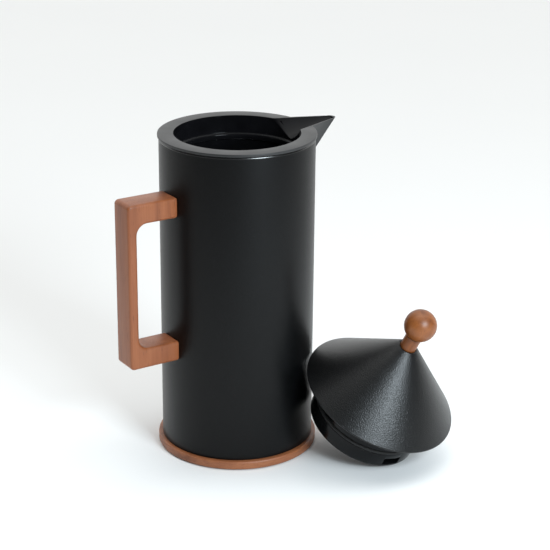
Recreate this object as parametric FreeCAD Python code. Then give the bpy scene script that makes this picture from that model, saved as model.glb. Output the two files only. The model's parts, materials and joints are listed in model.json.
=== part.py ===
import FreeCAD, Part
import math
import os

# Insulated coffee jug with a conical lift-off lid. Units are millimetres.
# The jug stands on z = 0 with its axis on +Z, the spout points to +X and the handle to -X.
# The lid is modelled upright on its own axis, then laid down leaning against the jug.

# ---- driving sizes: jug ----
SHELL_R = 55.0
SHELL_WALL = 1.2
RIM_Z = 234.0
RIM_R = 55.9
FLANGE_T = 1.9
BORE_R = 44.6
NECK_WALL = 2.2
NECK_DEPTH = 26.5
BEAD_R = 42.3
BEAD_TOP = 13.2
BEAD_BOTTOM = 17.6
SHELL_LIP_R = 50.0
SHELL_EDGE_R = 1.3
RIM_EDGE_R = 0.4
RIB_DEPTH = 6.8
RIB_GAP = 0.3

RING_H = 6.6
RING_R = 58.0
RING_BORE_R = 28.0
RING_EDGE_R = 1.2
RING_LIFT = 0.6
FOOT_T = 2.0
FOOT_R = (33.3, 46.7)
FOOT_GAP = 0.3

CLOSURE_BOTTOM = 6.9
CLOSURE_TOP = 13.0
CLOSURE_R = 53.6
CLOSURE_WALL = 3.0
CLOSURE_RIM_TOP = 24.0
BASE_SCREW_PCR = 40.0
BASE_SCREWS = 4
BASE_SCREW_HEAD_Z = 2.2
BASE_SCREW_TIP_Z = 11.0
BASE_HOLE_TOP = 11.5

# ---- driving sizes: glass liner ----
GLASS_T = 1.6
OUTER_GLASS_R = 49.5
INNER_GLASS_R = 43.9
OUTER_GLASS_BOTTOM = 20.0
OUTER_GLASS_CORNER = 24.0
INNER_GLASS_BOTTOM = 26.5
INNER_GLASS_CORNER = 20.0
SHOULDER_Z = 184.0
LIP_Z = 205.0
LIP_GLASS_R = 46.4
LIP_BORE_R = 41.8
SPACER_Z = 70.0
SPACER_H = 7.0
SPACER_W = 9.0
SPACERS = 3
PUMP_TIP_R = (1.2, 3.2)
PUMP_TIP_L = 5.5
GASKET_SETBACK = 0.6
CUP_TOP = 28.0
CUP_GLASS_GAP = 0.2
CUP_WALL_GAP = 0.3

# ---- driving sizes: spout ----
SPOUT_TIP_X = 82.2
SPOUT_ROOT_X = 45.6
SPOUT_ROOT_HALF = 17.6
SPOUT_TIP_HALF = 4.2
SPOUT_KEEL_SLOPE = 1.26
SPOUT_NOSE_FACETS = 8
CHANNEL_HALF = 16.0
CHANNEL_END_X = 80.4
CHANNEL_END_HALF = 2.7
CHANNEL_HALF_PER_DEPTH = 1.48
CHANNEL_RISE = 1.0
WINDOW_GAP = 0.3

# ---- driving sizes: handle ----
HANDLE_OUT_X = 92.7
HANDLE_GRIP_T = 7.0
HANDLE_W = 20.9
HANDLE_TOP = 197.8
HANDLE_BOTTOM = 76.9
HANDLE_LEG_H = 14.6
HANDLE_INNER_R = 8.0
HANDLE_CORNER_R = 2.4
HANDLE_EDGE_R = 1.3
SADDLE_GAP = 0.12
HANDLE_ROOT_X = 20.0
SCREW_R = 2.0
INSERT_R = 3.4
INSERT_FROM = 58.0
INSERT_L = 14.0
PLATE_T = 1.1
PLATE_W = 19.0
PLATE_H = 17.0
SCREW_HEAD_R = 3.7
SCREW_HEAD_T = 1.9
SCREW_REACH = 70.0
HOLE_GAP = 0.2
CUT_PAST = 5.0
RECESS_SHARE = 0.62
RECESS_W = 0.9

# ---- driving sizes: lid, measured along its own axis from the plug's underside ----
PLUG_R = 41.0
PLUG_WALL = 2.8
GROOVE_BOTTOM = 11.6
GROOVE_TOP = 14.8
GROOVE_R = 37.4
SEAL_IN_GAP = 0.3
SEAL_R = 41.7
SEAL_T = 2.6
PLUG_TOP = 31.0
PLUG_CHAMFER = 0.5
SPIGOT_BOTTOM = 4.0
SPIGOT_WALL = 2.4
SNAP_GAP = 0.15
FOAM_R = 35.0
FOAM_Z = (2.3, 26.0)
FOAM_POCKET_Z = 22.0
FOAM_POCKET_R = 4.7
POUR_WINDOW_Z = (1.8, 7.6)
POUR_WINDOW_DEG = 20.0
PLUG_FLOOR = 1.8
CONE_BOTTOM = 31.2
CONE_R = 56.8
CONE_EDGE_H = 1.0
CONE_TOP = 80.1
CONE_TIP_R = 7.4
CONE_WALL = 1.2
PLATE_BOTTOM = 31.8
PLATE_TOP = 33.0
PLATE_R = 53.9
PLATE_BOSS_HALF = 4.0
PLATE_BOSS_H = 4.7
PLATE_HOLE_H = 3.5
SPACER_RING_R = (31.0, 40.0)
BRACKET_Z = 44.8
BRACKET_T = 1.4
NECK_R = 5.9
NECK_GAP = 0.3
NECK_BOTTOM = 74.0
BALL_R = 11.6
BALL_Z = 100.7
BALL_GAP = 0.3
KNOB_SCREW_R = 2.0
KNOB_HEAD_R = 4.0
KNOB_HEAD_T = 2.6
KNOB_SCREW_TIP = 7.5
KNOB_INSERT_Z = (0.5, 8.5)
KNOB_BORE_L = 9.0
WASHER_R = 5.5
WASHER_T = 1.0
CORE_R = 4.4
LID_SCREWS = 3
LID_SCREW_PCR = 26.0
LID_SCREW_REACH = 3.0

# ---- where the lid lies ----
LEAN_TILT = 27.5
LEAN_AZIMUTH = -69.7
LID_AZIMUTH = -44.05
LID_DISTANCE = 93.6
NOTCH_AZIMUTH = -91.1

Z_AXIS = FreeCAD.Vector(0, 0, 1)
ORIGIN = FreeCAD.Vector(0, 0, 0)


def vec(x, y, z):
    return FreeCAD.Vector(x, y, z)


def line(a, b):
    """Straight edge between two (radius, height) points in the XZ half plane."""
    return Part.LineSegment(vec(a[0], 0, a[1]), vec(b[0], 0, b[1])).toShape()


def arc(a, mid, b):
    """Arc edge through three (radius, height) points in the XZ half plane."""
    return Part.Arc(vec(a[0], 0, a[1]), vec(mid[0], 0, mid[1]), vec(b[0], 0, b[1])).toShape()


def arc_point(centre, radius, degrees):
    """Point of a circle in the XZ half plane."""
    turn = math.radians(degrees)
    return (centre[0] + radius * math.cos(turn), centre[1] + radius * math.sin(turn))


def corner_arc(centre, radius, start, end):
    """Arc edge about a centre between two angles in degrees."""
    middle = 0.5 * (start + end)
    return arc(*[arc_point(centre, radius, angle) for angle in (start, middle, end)])


def revolve(edges):
    """Solid of revolution about Z from a closed loop of edges."""
    face = Part.Face(Part.Wire(Part.__sortEdges__(edges)))
    return face.revolve(ORIGIN, Z_AXIS, 360)


def polygon_edges(points):
    """Closed loop of straight edges through (radius, height) points."""
    return [line(points[i - 1], points[i]) for i in range(len(points))]


def turned(points):
    """Solid of revolution with a straight-sided section."""
    return revolve(polygon_edges(points))


def ring(inner, outer, bottom, top):
    """Plain flat ring."""
    return turned([(inner, bottom), (outer, bottom), (outer, top), (inner, top)])


def rod(radius, bottom, top, x=0.0, y=0.0):
    """Upright cylinder."""
    return Part.makeCylinder(radius, top - bottom, vec(x, y, bottom))


def cross_rod(radius, start, length, z):
    """Cylinder along -X from x = -start at one height."""
    return Part.makeCylinder(radius, length, vec(-start, 0, z), vec(-1, 0, 0))


def around(shape, count, offset=0.0):
    """Copies of a shape spaced evenly about Z."""
    copies = []
    for index in range(count):
        copy = shape.copy()
        copy.rotate(ORIGIN, Z_AXIS, offset + 360.0 * index / count)
        copies.append(copy)
    return copies


def group(shapes):
    """Compound of separate solids that share one node."""
    solids = [solid for shape in shapes for solid in shape.Solids]
    return Part.makeCompound(solids)


# ---- jug body ----

def spout_outline(gap):
    """Points of the spout's top outline at rim height, round-nosed."""
    radius = SPOUT_TIP_HALF + gap
    centre_x = SPOUT_TIP_X + gap - radius
    points = [vec(SPOUT_ROOT_X, -SPOUT_ROOT_HALF - gap, RIM_Z)]
    for index in range(SPOUT_NOSE_FACETS + 1):
        turn = math.radians(-90.0 + 180.0 * index / SPOUT_NOSE_FACETS)
        points.append(vec(centre_x + radius * math.cos(turn), radius * math.sin(turn), RIM_Z))
    points.append(vec(SPOUT_ROOT_X, SPOUT_ROOT_HALF + gap, RIM_Z))
    return points


def spout_block(gap):
    """Pyramid with its point low inside the shell and its base the outline at rim height."""
    outline = spout_outline(gap)
    drop = SPOUT_KEEL_SLOPE * (SPOUT_TIP_X - SPOUT_ROOT_X)
    keel = vec(SPOUT_ROOT_X, 0, RIM_Z - drop - gap)
    faces = [Part.Face(Part.makePolygon(outline + [outline[0]]))]
    for index in range(len(outline)):
        corners = [outline[index - 1], outline[index], keel]
        faces.append(Part.Face(Part.makePolygon(corners + [corners[0]])))
    return Part.makeSolid(Part.makeShell(faces))


def channel_section(x, half):
    """V section of the pouring channel, open above the rim."""
    top = half + CHANNEL_HALF_PER_DEPTH * CHANNEL_RISE
    corners = [
        vec(x, -top, RIM_Z + CHANNEL_RISE),
        vec(x, 0, RIM_Z - half / CHANNEL_HALF_PER_DEPTH),
        vec(x, top, RIM_Z + CHANNEL_RISE),
    ]
    return Part.makePolygon(corners + [corners[0]])


def spout_channel():
    """V channel that rises from the bore wall to the spout's nose."""
    start_x = BORE_R - 2.0 * NECK_WALL
    run = (start_x - BORE_R) / (CHANNEL_END_X - BORE_R)
    half = CHANNEL_HALF + run * (CHANNEL_END_HALF - CHANNEL_HALF)
    sections = [channel_section(start_x, half), channel_section(CHANNEL_END_X, CHANNEL_END_HALF)]
    return Part.makeLoft(sections, True, True)


def neck_profile():
    """Section of the collar: flat flange, neck tube and the bead that the lid's seal meets."""
    outer = BORE_R + NECK_WALL
    bottom = RIM_Z - NECK_DEPTH
    edge = RIM_EDGE_R
    bead_top = RIM_Z - BEAD_TOP
    bead_bottom = RIM_Z - BEAD_BOTTOM
    bead_r = 0.5 * (bead_top - bead_bottom)
    return [
        line((BORE_R, RIM_Z), (RIM_R - edge, RIM_Z)),
        corner_arc((RIM_R - edge, RIM_Z - edge), edge, 90, 0),
        line((RIM_R, RIM_Z - edge), (RIM_R, RIM_Z - FLANGE_T)),
        line((RIM_R, RIM_Z - FLANGE_T), (outer, RIM_Z - FLANGE_T)),
        line((outer, RIM_Z - FLANGE_T), (outer, bottom)),
        line((outer, bottom), (BORE_R, bottom)),
        line((BORE_R, bottom), (BORE_R, bead_bottom)),
        arc((BORE_R, bead_bottom), (BEAD_R, bead_top - bead_r), (BORE_R, bead_top)),
        line((BORE_R, bead_top), (BORE_R, RIM_Z)),
    ]


def collar():
    """Moulded collar with the rim, neck, centring rib and V spout in one piece."""
    neck_bottom = RIM_Z - NECK_DEPTH
    mid_wall = BORE_R + 0.5 * NECK_WALL
    spout = spout_block(0.0).cut(rod(SHELL_LIP_R + 1.0, 0, neck_bottom))
    spout = spout.cut(rod(mid_wall, 0, RIM_Z + 1.0))
    rib = ring(mid_wall, SHELL_LIP_R - RIB_GAP, RIM_Z - RIB_DEPTH, RIM_Z - 0.5 * FLANGE_T)
    body = revolve(neck_profile()).fuse(rib).fuse(spout)
    return body.cut(spout_channel()).removeSplitter()


def outer_shell():
    """Drawn metal shell with a rolled top edge, the spout window and the handle holes."""
    inner = SHELL_R - SHELL_WALL
    top = RIM_Z - FLANGE_T
    bend = SHELL_EDGE_R
    edges = [
        line((SHELL_R, CLOSURE_BOTTOM), (SHELL_R, top - bend)),
        corner_arc((SHELL_R - bend, top - bend), bend, 0, 90),
        line((SHELL_R - bend, top), (SHELL_LIP_R, top)),
        line((SHELL_LIP_R, top), (SHELL_LIP_R, top - SHELL_WALL)),
        line((SHELL_LIP_R, top - SHELL_WALL), (inner, top - SHELL_WALL)),
        line((inner, top - SHELL_WALL), (inner, CLOSURE_BOTTOM)),
        line((inner, CLOSURE_BOTTOM), (SHELL_R, CLOSURE_BOTTOM)),
    ]
    body = revolve(edges).cut(spout_block(WINDOW_GAP))
    for height in leg_heights():
        body = body.cut(cross_rod(SCREW_R + HOLE_GAP, SHELL_R - CUT_PAST, 2.0 * CUT_PAST, height))
    return body


def base_closure():
    """Moulded cup that closes the shell's open bottom and carries the glass."""
    body = turned([
        (0, CLOSURE_BOTTOM), (CLOSURE_R, CLOSURE_BOTTOM), (CLOSURE_R, CLOSURE_RIM_TOP),
        (CLOSURE_R - CLOSURE_WALL, CLOSURE_RIM_TOP), (CLOSURE_R - CLOSURE_WALL, CLOSURE_TOP),
        (0, CLOSURE_TOP),
    ])
    hole = rod(SCREW_R, CLOSURE_BOTTOM - 1.0, BASE_HOLE_TOP, BASE_SCREW_PCR)
    for cutter in around(hole, BASE_SCREWS, 45.0):
        body = body.cut(cutter)
    return body


def base_ring():
    """Turned wood ring that the jug stands on, slightly wider than the shell."""
    edge = RING_EDGE_R
    edges = [
        line((RING_BORE_R, RING_LIFT), (RING_R - edge, RING_LIFT)),
        corner_arc((RING_R - edge, RING_LIFT + edge), edge, -90, 0),
        line((RING_R, RING_LIFT + edge), (RING_R, RING_H - edge)),
        corner_arc((RING_R - edge, RING_H - edge), edge, 0, 90),
        line((RING_R - edge, RING_H), (RING_BORE_R, RING_H)),
        line((RING_BORE_R, RING_H), (RING_BORE_R, RING_LIFT)),
    ]
    body = revolve(edges)
    recess = ring(FOOT_R[0] - FOOT_GAP, FOOT_R[1] + FOOT_GAP, 0, FOOT_T)
    body = body.cut(recess)
    hole = rod(SCREW_R, 0, RING_H + 1.0, BASE_SCREW_PCR)
    head = rod(SCREW_HEAD_R + HOLE_GAP, 0, BASE_SCREW_HEAD_Z + SCREW_HEAD_T, BASE_SCREW_PCR)
    for cutter in around(hole.fuse(head), BASE_SCREWS, 45.0):
        body = body.cut(cutter)
    return body


def ring_seat():
    """Thin packing ring between the wood ring and the base closure."""
    return ring(RING_BORE_R, SHELL_R - 1.0, RING_H, CLOSURE_BOTTOM).cut(
        group(around(rod(SCREW_HEAD_R, 0, CLOSURE_TOP, BASE_SCREW_PCR), BASE_SCREWS, 45.0)))


def foot_pad():
    """Soft ring set into the wood ring's underside."""
    return ring(FOOT_R[0], FOOT_R[1], 0, FOOT_T)


def pan_screw(head_z, tip_z, radius, head_r, head_t):
    """Upright pan-head screw with a cross recess, head down."""
    head = rod(head_r, head_z, head_z + head_t)
    shank = rod(radius, head_z + head_t, tip_z)
    span = RECESS_SHARE * head_r
    slot = Part.makeBox(2.0 * span, RECESS_W, RECESS_W, vec(-span, -0.5 * RECESS_W, head_z))
    cross = slot.copy()
    cross.rotate(ORIGIN, Z_AXIS, 90)
    return head.fuse(shank).cut(slot).cut(cross).removeSplitter()


def base_screws():
    """Screws that hold the wood ring to the closure."""
    screw = pan_screw(BASE_SCREW_HEAD_Z, BASE_SCREW_TIP_Z, SCREW_R - HOLE_GAP,
                      SCREW_HEAD_R - HOLE_GAP, SCREW_HEAD_T)
    screw.translate(vec(BASE_SCREW_PCR, 0, 0))
    return group(around(screw, BASE_SCREWS, 45.0))


# ---- glass liner ----

def shoulder(radius, lip_r):
    """Two equal tangent arcs that bring a bottle wall in from its body to its lip."""
    half_in = 0.5 * (radius - lip_r)
    half_up = 0.5 * (LIP_Z - SHOULDER_Z)
    bend = (half_in ** 2 + half_up ** 2) / (2.0 * half_in)
    sweep = math.degrees(math.asin(half_up / bend))
    return [
        corner_arc((radius - bend, SHOULDER_Z), bend, 0, sweep),
        corner_arc((lip_r + bend, LIP_Z), bend, 180.0 + sweep, 180.0),
    ]


def bottle_section(radius, bottom, corner, lip_r):
    """Edges of one side of a bottle wall, from the axis out and up to the lip."""
    centre = (radius - corner, bottom + corner)
    return [
        line((0, bottom), (radius - corner, bottom)),
        corner_arc(centre, corner, -90, 0),
        line((radius, bottom + corner), (radius, SHOULDER_Z)),
    ] + shoulder(radius, lip_r)


def bottle(radius, bottom, corner, lip_r):
    """Blown glass bottle, open at the top."""
    outside = bottle_section(radius, bottom, corner, lip_r)
    inside = bottle_section(radius - GLASS_T, bottom + GLASS_T, corner - GLASS_T, lip_r - GLASS_T)
    closing = [
        line((lip_r, LIP_Z), (lip_r - GLASS_T, LIP_Z)),
        line((0, bottom), (0, bottom + GLASS_T)),
    ]
    return revolve(outside + inside + closing)


def liner_outer():
    """Outer glass bottle with the sealed-off tip it was pumped through."""
    body = bottle(OUTER_GLASS_R, OUTER_GLASS_BOTTOM, OUTER_GLASS_CORNER, LIP_GLASS_R)
    tip = Part.makeCone(*PUMP_TIP_R, PUMP_TIP_L, vec(0, 0, OUTER_GLASS_BOTTOM - PUMP_TIP_L))
    return body.fuse(tip).removeSplitter()


def liner_inner():
    """Inner glass bottle that holds the coffee, with its lip turned out to meet the outer one."""
    body = bottle(INNER_GLASS_R, INNER_GLASS_BOTTOM, INNER_GLASS_CORNER, LIP_BORE_R + GLASS_T)
    lip = ring(LIP_BORE_R, LIP_GLASS_R, LIP_Z, LIP_Z + GLASS_T)
    return body.fuse(lip).removeSplitter()


def liner_spacers():
    """Small pads that keep the two bottles apart."""
    gap_ring = ring(INNER_GLASS_R, OUTER_GLASS_R - GLASS_T, SPACER_Z, SPACER_Z + SPACER_H)
    block = Part.makeBox(OUTER_GLASS_R, SPACER_W, SPACER_H, vec(0, -0.5 * SPACER_W, SPACER_Z))
    return group([gap_ring.common(copy) for copy in around(block, SPACERS, 30.0)])


def neck_gasket():
    """Soft ring squeezed between the collar's neck and the glass lip."""
    return ring(LIP_BORE_R + GASKET_SETBACK, BORE_R + NECK_WALL, LIP_Z + GLASS_T, RIM_Z - NECK_DEPTH)


def support_cup():
    """Rubber cup under the rounded bottom corner of the glass."""
    inner = OUTER_GLASS_R - OUTER_GLASS_CORNER
    radius = OUTER_GLASS_CORNER + CUP_GLASS_GAP
    centre = (inner, OUTER_GLASS_BOTTOM + OUTER_GLASS_CORNER)
    top_angle = -math.degrees(math.asin((centre[1] - CUP_TOP) / radius))
    touch = arc_point(centre, radius, top_angle)
    wall = CLOSURE_R - CLOSURE_WALL - CUP_WALL_GAP
    edges = [
        line((inner, CLOSURE_TOP), (wall, CLOSURE_TOP)),
        line((wall, CLOSURE_TOP), (wall, CUP_TOP)),
        line((wall, CUP_TOP), touch),
        corner_arc(centre, radius, top_angle, -90),
        line(arc_point(centre, radius, -90), (inner, CLOSURE_TOP)),
    ]
    return revolve(edges)


# ---- handle ----

def leg_heights():
    """Centre heights of the handle's lower and upper legs."""
    half = 0.5 * HANDLE_LEG_H
    return (HANDLE_BOTTOM + half, HANDLE_TOP - half)


def rounded_slab(x0, x1, z0, z1, corner, width):
    """Upright slab in the XZ plane with all four corners rounded."""
    box = Part.makeBox(x1 - x0, width, z1 - z0, vec(x0, -0.5 * width, z0))
    upright = [edge for edge in box.Edges if abs(edge.tangentAt(edge.FirstParameter).y) > 0.9]
    return box.makeFillet(corner, upright)


def is_long_edge(edge):
    """True for an edge that runs along a side face of the handle, clear of its root."""
    near = 0.1
    on_side = all(abs(abs(vertex.Y) - 0.5 * HANDLE_W) < near for vertex in edge.Vertexes)
    crosses = abs(edge.tangentAt(edge.FirstParameter).y) > near
    at_root = all(vertex.X > -HANDLE_ROOT_X - near for vertex in edge.Vertexes)
    return on_side and not crosses and not at_root


def handle():
    """C-shaped wood handle, saddle-cut to sit on the shell, bored for its inserts."""
    inside_x = HANDLE_OUT_X - HANDLE_GRIP_T
    body = rounded_slab(-HANDLE_OUT_X, -HANDLE_ROOT_X, HANDLE_BOTTOM, HANDLE_TOP,
                        HANDLE_CORNER_R, HANDLE_W)
    gap = rounded_slab(-inside_x, 0.0, HANDLE_BOTTOM + HANDLE_LEG_H, HANDLE_TOP - HANDLE_LEG_H,
                       HANDLE_INNER_R, 2.0 * HANDLE_W)
    body = body.cut(gap)
    body = body.makeFillet(HANDLE_EDGE_R, [edge for edge in body.Edges if is_long_edge(edge)])
    body = body.cut(rod(SHELL_R + SADDLE_GAP, HANDLE_BOTTOM - CUT_PAST, HANDLE_TOP + CUT_PAST))
    bore_from = SHELL_R - CUT_PAST
    for height in leg_heights():
        body = body.cut(cross_rod(INSERT_R, bore_from, INSERT_FROM + INSERT_L - bore_from, height))
    return body.removeSplitter()


def handle_inserts():
    """Threaded brass inserts in the handle's legs."""
    inserts = []
    for height in leg_heights():
        body = cross_rod(INSERT_R, INSERT_FROM, INSERT_L, height)
        inserts.append(body.cut(cross_rod(SCREW_R, INSERT_FROM - 1.0, INSERT_L + 2.0, height)))
    return group(inserts)


def handle_plates():
    """Curved load plates inside the shell behind the handle's legs."""
    inner = SHELL_R - SHELL_WALL
    plates = []
    for height in leg_heights():
        curve = ring(inner - PLATE_T, inner, height - 0.5 * PLATE_H, height + 0.5 * PLATE_H)
        block = Part.makeBox(inner, PLATE_W, PLATE_H,
                             vec(-inner, -0.5 * PLATE_W, height - 0.5 * PLATE_H))
        plate = curve.common(block)
        plates.append(plate.cut(cross_rod(SCREW_R + HOLE_GAP, inner - CUT_PAST, 2.0 * CUT_PAST, height)))
    return group(plates)


def handle_screws():
    """Screws driven from inside the shell into the handle's inserts."""
    face = SHELL_R - SHELL_WALL - PLATE_T
    screws = []
    for height in leg_heights():
        head = cross_rod(SCREW_HEAD_R, face - SCREW_HEAD_T, SCREW_HEAD_T, height)
        flat = rod(face, height - 2.0 * SCREW_HEAD_R, height + 2.0 * SCREW_HEAD_R)
        start = face - SCREW_HEAD_T
        shank = cross_rod(SCREW_R, start, SCREW_REACH - start, height)
        screws.append(head.common(flat).fuse(shank).removeSplitter())
    return group(screws)


# ---- lid, upright, with the plug's underside at z = 0 ----

def plug_base():
    """Lower cup of the plug with the pouring window in its wall."""
    body = turned([
        (0, 0), (PLUG_R - PLUG_CHAMFER, 0), (PLUG_R, PLUG_CHAMFER), (PLUG_R, GROOVE_BOTTOM),
        (PLUG_R - PLUG_WALL, GROOVE_BOTTOM), (PLUG_R - PLUG_WALL, PLUG_FLOOR), (0, PLUG_FLOOR),
    ])
    low, high = POUR_WINDOW_Z
    width = 2.0 * PLUG_R * math.sin(math.radians(0.5 * POUR_WINDOW_DEG))
    window = Part.makeBox(2.0 * PLUG_WALL, width, high - low,
                          vec(PLUG_R - 1.5 * PLUG_WALL, -0.5 * width, low))
    window.rotate(ORIGIN, Z_AXIS, NOTCH_AZIMUTH)
    return body.cut(window)


def plug_body():
    """Upper cup of the plug, with the seal groove and the spigot the lower cup snaps on."""
    spigot = PLUG_R - PLUG_WALL - SNAP_GAP
    inner = spigot - SPIGOT_WALL
    roof = PLUG_TOP - SPIGOT_WALL
    body = turned([
        (inner, SPIGOT_BOTTOM), (spigot, SPIGOT_BOTTOM), (spigot, GROOVE_BOTTOM),
        (GROOVE_R, GROOVE_BOTTOM), (GROOVE_R, GROOVE_TOP), (PLUG_R, GROOVE_TOP),
        (PLUG_R, PLUG_TOP), (0, PLUG_TOP), (0, roof), (inner, roof),
    ])
    hole = rod(SCREW_R, roof - 1.0, PLUG_TOP + 1.0, LID_SCREW_PCR)
    for cutter in around(hole, LID_SCREWS):
        body = body.cut(cutter)
    return body


def plug_seal():
    """Rubber ring in the plug's groove, with a rounded outer lip."""
    middle = 0.5 * (GROOVE_BOTTOM + GROOVE_TOP)
    half = 0.5 * SEAL_T
    inner = GROOVE_R + SEAL_IN_GAP
    shoulder = SEAL_R - half
    edges = [
        line((inner, middle - half), (shoulder, middle - half)),
        arc((shoulder, middle - half), (SEAL_R, middle), (shoulder, middle + half)),
        line((shoulder, middle + half), (inner, middle + half)),
        line((inner, middle + half), (inner, middle - half)),
    ]
    return revolve(edges)


def insulation_disc():
    """Foam block that fills the plug."""
    body = rod(FOAM_R, FOAM_Z[0], FOAM_Z[1])
    hole = rod(FOAM_POCKET_R, FOAM_POCKET_Z, PLUG_TOP, LID_SCREW_PCR)
    for cutter in around(hole, LID_SCREWS):
        body = body.cut(cutter)
    return body


def lid_plate():
    """Pressed plate that closes the cone from below and carries the plug."""
    body = ring(KNOB_SCREW_R + 2.0 * HOLE_GAP, PLATE_R, PLATE_BOTTOM, PLATE_TOP)
    boss_ring = ring(LID_SCREW_PCR - PLATE_BOSS_HALF, LID_SCREW_PCR + PLATE_BOSS_HALF, PLATE_TOP,
                     PLATE_TOP + PLATE_BOSS_H)
    body = body.fuse(boss_ring)
    hole = rod(SCREW_R, PLATE_BOTTOM - 1.0, PLATE_TOP + PLATE_HOLE_H, LID_SCREW_PCR)
    for cutter in around(hole, LID_SCREWS):
        body = body.cut(cutter)
    return body.removeSplitter()


def plate_spacer():
    """Thin fibre ring between the plug's top and the lid plate."""
    return ring(*SPACER_RING_R, PLUG_TOP, PLATE_BOTTOM)


def lid_screws():
    """Screws from inside the plug up into the lid plate."""
    head_z = PLUG_TOP - SPIGOT_WALL - SCREW_HEAD_T
    screw = pan_screw(head_z, PLATE_TOP + LID_SCREW_REACH, SCREW_R - HOLE_GAP, SCREW_HEAD_R,
                      SCREW_HEAD_T)
    screw.translate(vec(LID_SCREW_PCR, 0, 0))
    return group(around(screw, LID_SCREWS))


def cone_inside(z):
    """Inner radius of the cone's wall at one height."""
    slope = (CONE_R - CONE_TIP_R) / (CONE_TOP - CONE_BOTTOM - CONE_EDGE_H)
    thick = CONE_WALL * math.sqrt(1.0 + slope * slope)
    return CONE_R - thick - slope * (z - CONE_BOTTOM - CONE_EDGE_H)


def lid_cone():
    """Spun metal cone with a short upright edge and an open tip for the knob's neck."""
    edge_top = CONE_BOTTOM + CONE_EDGE_H
    hole_r = NECK_R + NECK_GAP
    rise = CONE_TOP - edge_top
    inner_top = edge_top + rise * (cone_inside(edge_top) - hole_r) / (CONE_R - CONE_TIP_R)
    return turned([
        (CONE_R, CONE_BOTTOM), (CONE_R, edge_top), (CONE_TIP_R, CONE_TOP),
        (hole_r, CONE_TOP), (hole_r, inner_top),
        (cone_inside(edge_top), edge_top), (CONE_R - CONE_WALL, CONE_BOTTOM),
    ])


def cone_bracket():
    """Pressed disc that sits across the inside of the cone and takes the knob's screw."""
    hole_r = KNOB_SCREW_R + HOLE_GAP
    top = BRACKET_Z + BRACKET_T
    return turned([
        (hole_r, BRACKET_Z), (cone_inside(BRACKET_Z), BRACKET_Z), (cone_inside(top), top),
        (hole_r, top),
    ])


def core_tube():
    """Spacer tube that holds the knob's neck up from the bracket."""
    return ring(KNOB_SCREW_R + HOLE_GAP, CORE_R, BRACKET_Z + BRACKET_T, NECK_BOTTOM)


def knob_neck():
    """Short wood neck, hollowed on top to the ball and bored below for its insert."""
    top_z = BALL_Z - math.sqrt((BALL_R + BALL_GAP) ** 2 - NECK_R ** 2)
    body = rod(NECK_R, NECK_BOTTOM, top_z)
    ball_space = Part.makeSphere(BALL_R + BALL_GAP, vec(0, 0, BALL_Z))
    insert_hole = rod(INSERT_R, NECK_BOTTOM - 1.0, NECK_BOTTOM + KNOB_BORE_L)
    return body.cut(ball_space).cut(insert_hole)


def knob_insert():
    """Threaded insert in the knob's neck."""
    low, high = KNOB_INSERT_Z
    return ring(KNOB_SCREW_R, INSERT_R, NECK_BOTTOM + low, NECK_BOTTOM + high)


def knob_washer():
    """Washer under the knob screw's head."""
    return ring(KNOB_SCREW_R + HOLE_GAP, WASHER_R, BRACKET_Z - WASHER_T, BRACKET_Z)


def knob_screw():
    """Long screw from the bracket up through the core tube into the knob."""
    head_z = BRACKET_Z - WASHER_T - KNOB_HEAD_T
    return pan_screw(head_z, NECK_BOTTOM + KNOB_SCREW_TIP, KNOB_SCREW_R, KNOB_HEAD_R, KNOB_HEAD_T)


def knob_ball():
    """Turned wood ball."""
    return Part.makeSphere(BALL_R, vec(0, 0, BALL_Z))


def lay_down(shape):
    """Tilt a lid piece and stand its low edge on the table beside the jug."""
    lean = math.radians(LEAN_AZIMUTH)
    hinge = vec(-math.sin(lean), math.cos(lean), 0)
    away = math.radians(LID_AZIMUTH)
    lift = PLUG_R * math.sin(math.radians(LEAN_TILT))
    place = vec(LID_DISTANCE * math.cos(away), LID_DISTANCE * math.sin(away), lift)
    laid = shape.copy()
    laid.rotate(ORIGIN, hinge, LEAN_TILT)
    laid.translate(place)
    return laid


JUG_PARTS = {
    "outer_shell": outer_shell,
    "collar": collar,
    "neck_gasket": neck_gasket,
    "liner_inner": liner_inner,
    "liner_outer": liner_outer,
    "liner_spacers": liner_spacers,
    "support_cup": support_cup,
    "base_closure": base_closure,
    "ring_seat": ring_seat,
    "base_ring": base_ring,
    "base_screws": base_screws,
    "foot_pad": foot_pad,
    "handle": handle,
    "handle_inserts": handle_inserts,
    "handle_plates": handle_plates,
    "handle_screws": handle_screws,
}

LID_PARTS = {
    "plug_base": plug_base,
    "plug_body": plug_body,
    "plug_seal": plug_seal,
    "insulation_disc": insulation_disc,
    "plate_spacer": plate_spacer,
    "lid_plate": lid_plate,
    "lid_screws": lid_screws,
    "lid_cone": lid_cone,
    "cone_bracket": cone_bracket,
    "core_tube": core_tube,
    "knob_screw": knob_screw,
    "knob_washer": knob_washer,
    "knob_insert": knob_insert,
    "knob_neck": knob_neck,
    "knob_ball": knob_ball,
}


def main():
    """Write one STEP file for each named piece."""
    os.makedirs("parts", exist_ok=True)
    for name, make in JUG_PARTS.items():
        make().exportStep(f"parts/{name}.step")
    for name, make in LID_PARTS.items():
        lay_down(make()).exportStep(f"parts/{name}.step")


main()
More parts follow.
